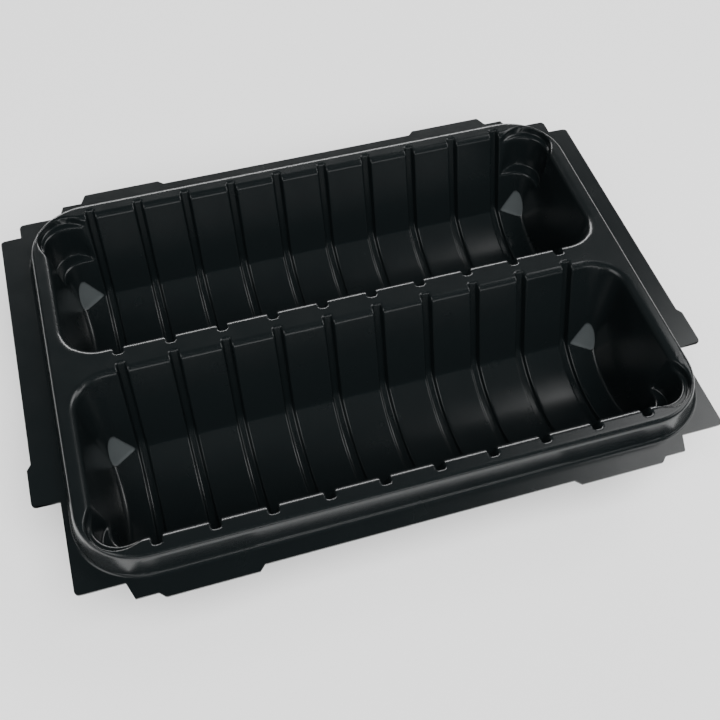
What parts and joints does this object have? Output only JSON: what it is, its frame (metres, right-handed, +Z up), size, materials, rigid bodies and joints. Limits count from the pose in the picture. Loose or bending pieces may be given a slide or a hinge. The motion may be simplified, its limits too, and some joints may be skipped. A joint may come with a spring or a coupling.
{
  "type": "insert tray",
  "caption": "Black vacuum-formed insert tray with two long round-bottomed troughs, divider slots across them and a stepped flat flange.",
  "frame": {"origin": "middle of the bounding box's bottom, on the plane that the undersides of the slots stand on", "axes": "+X along the troughs, +Y from the front trough to the back trough, +Z up"},
  "size_m": [0.3644, 0.2694, 0.0667],
  "materials": {
    "black_sheet": "gloss"
  },
  "bodies": {
    "root": {"tray": "black_sheet"}
  },
  "joints": []
}
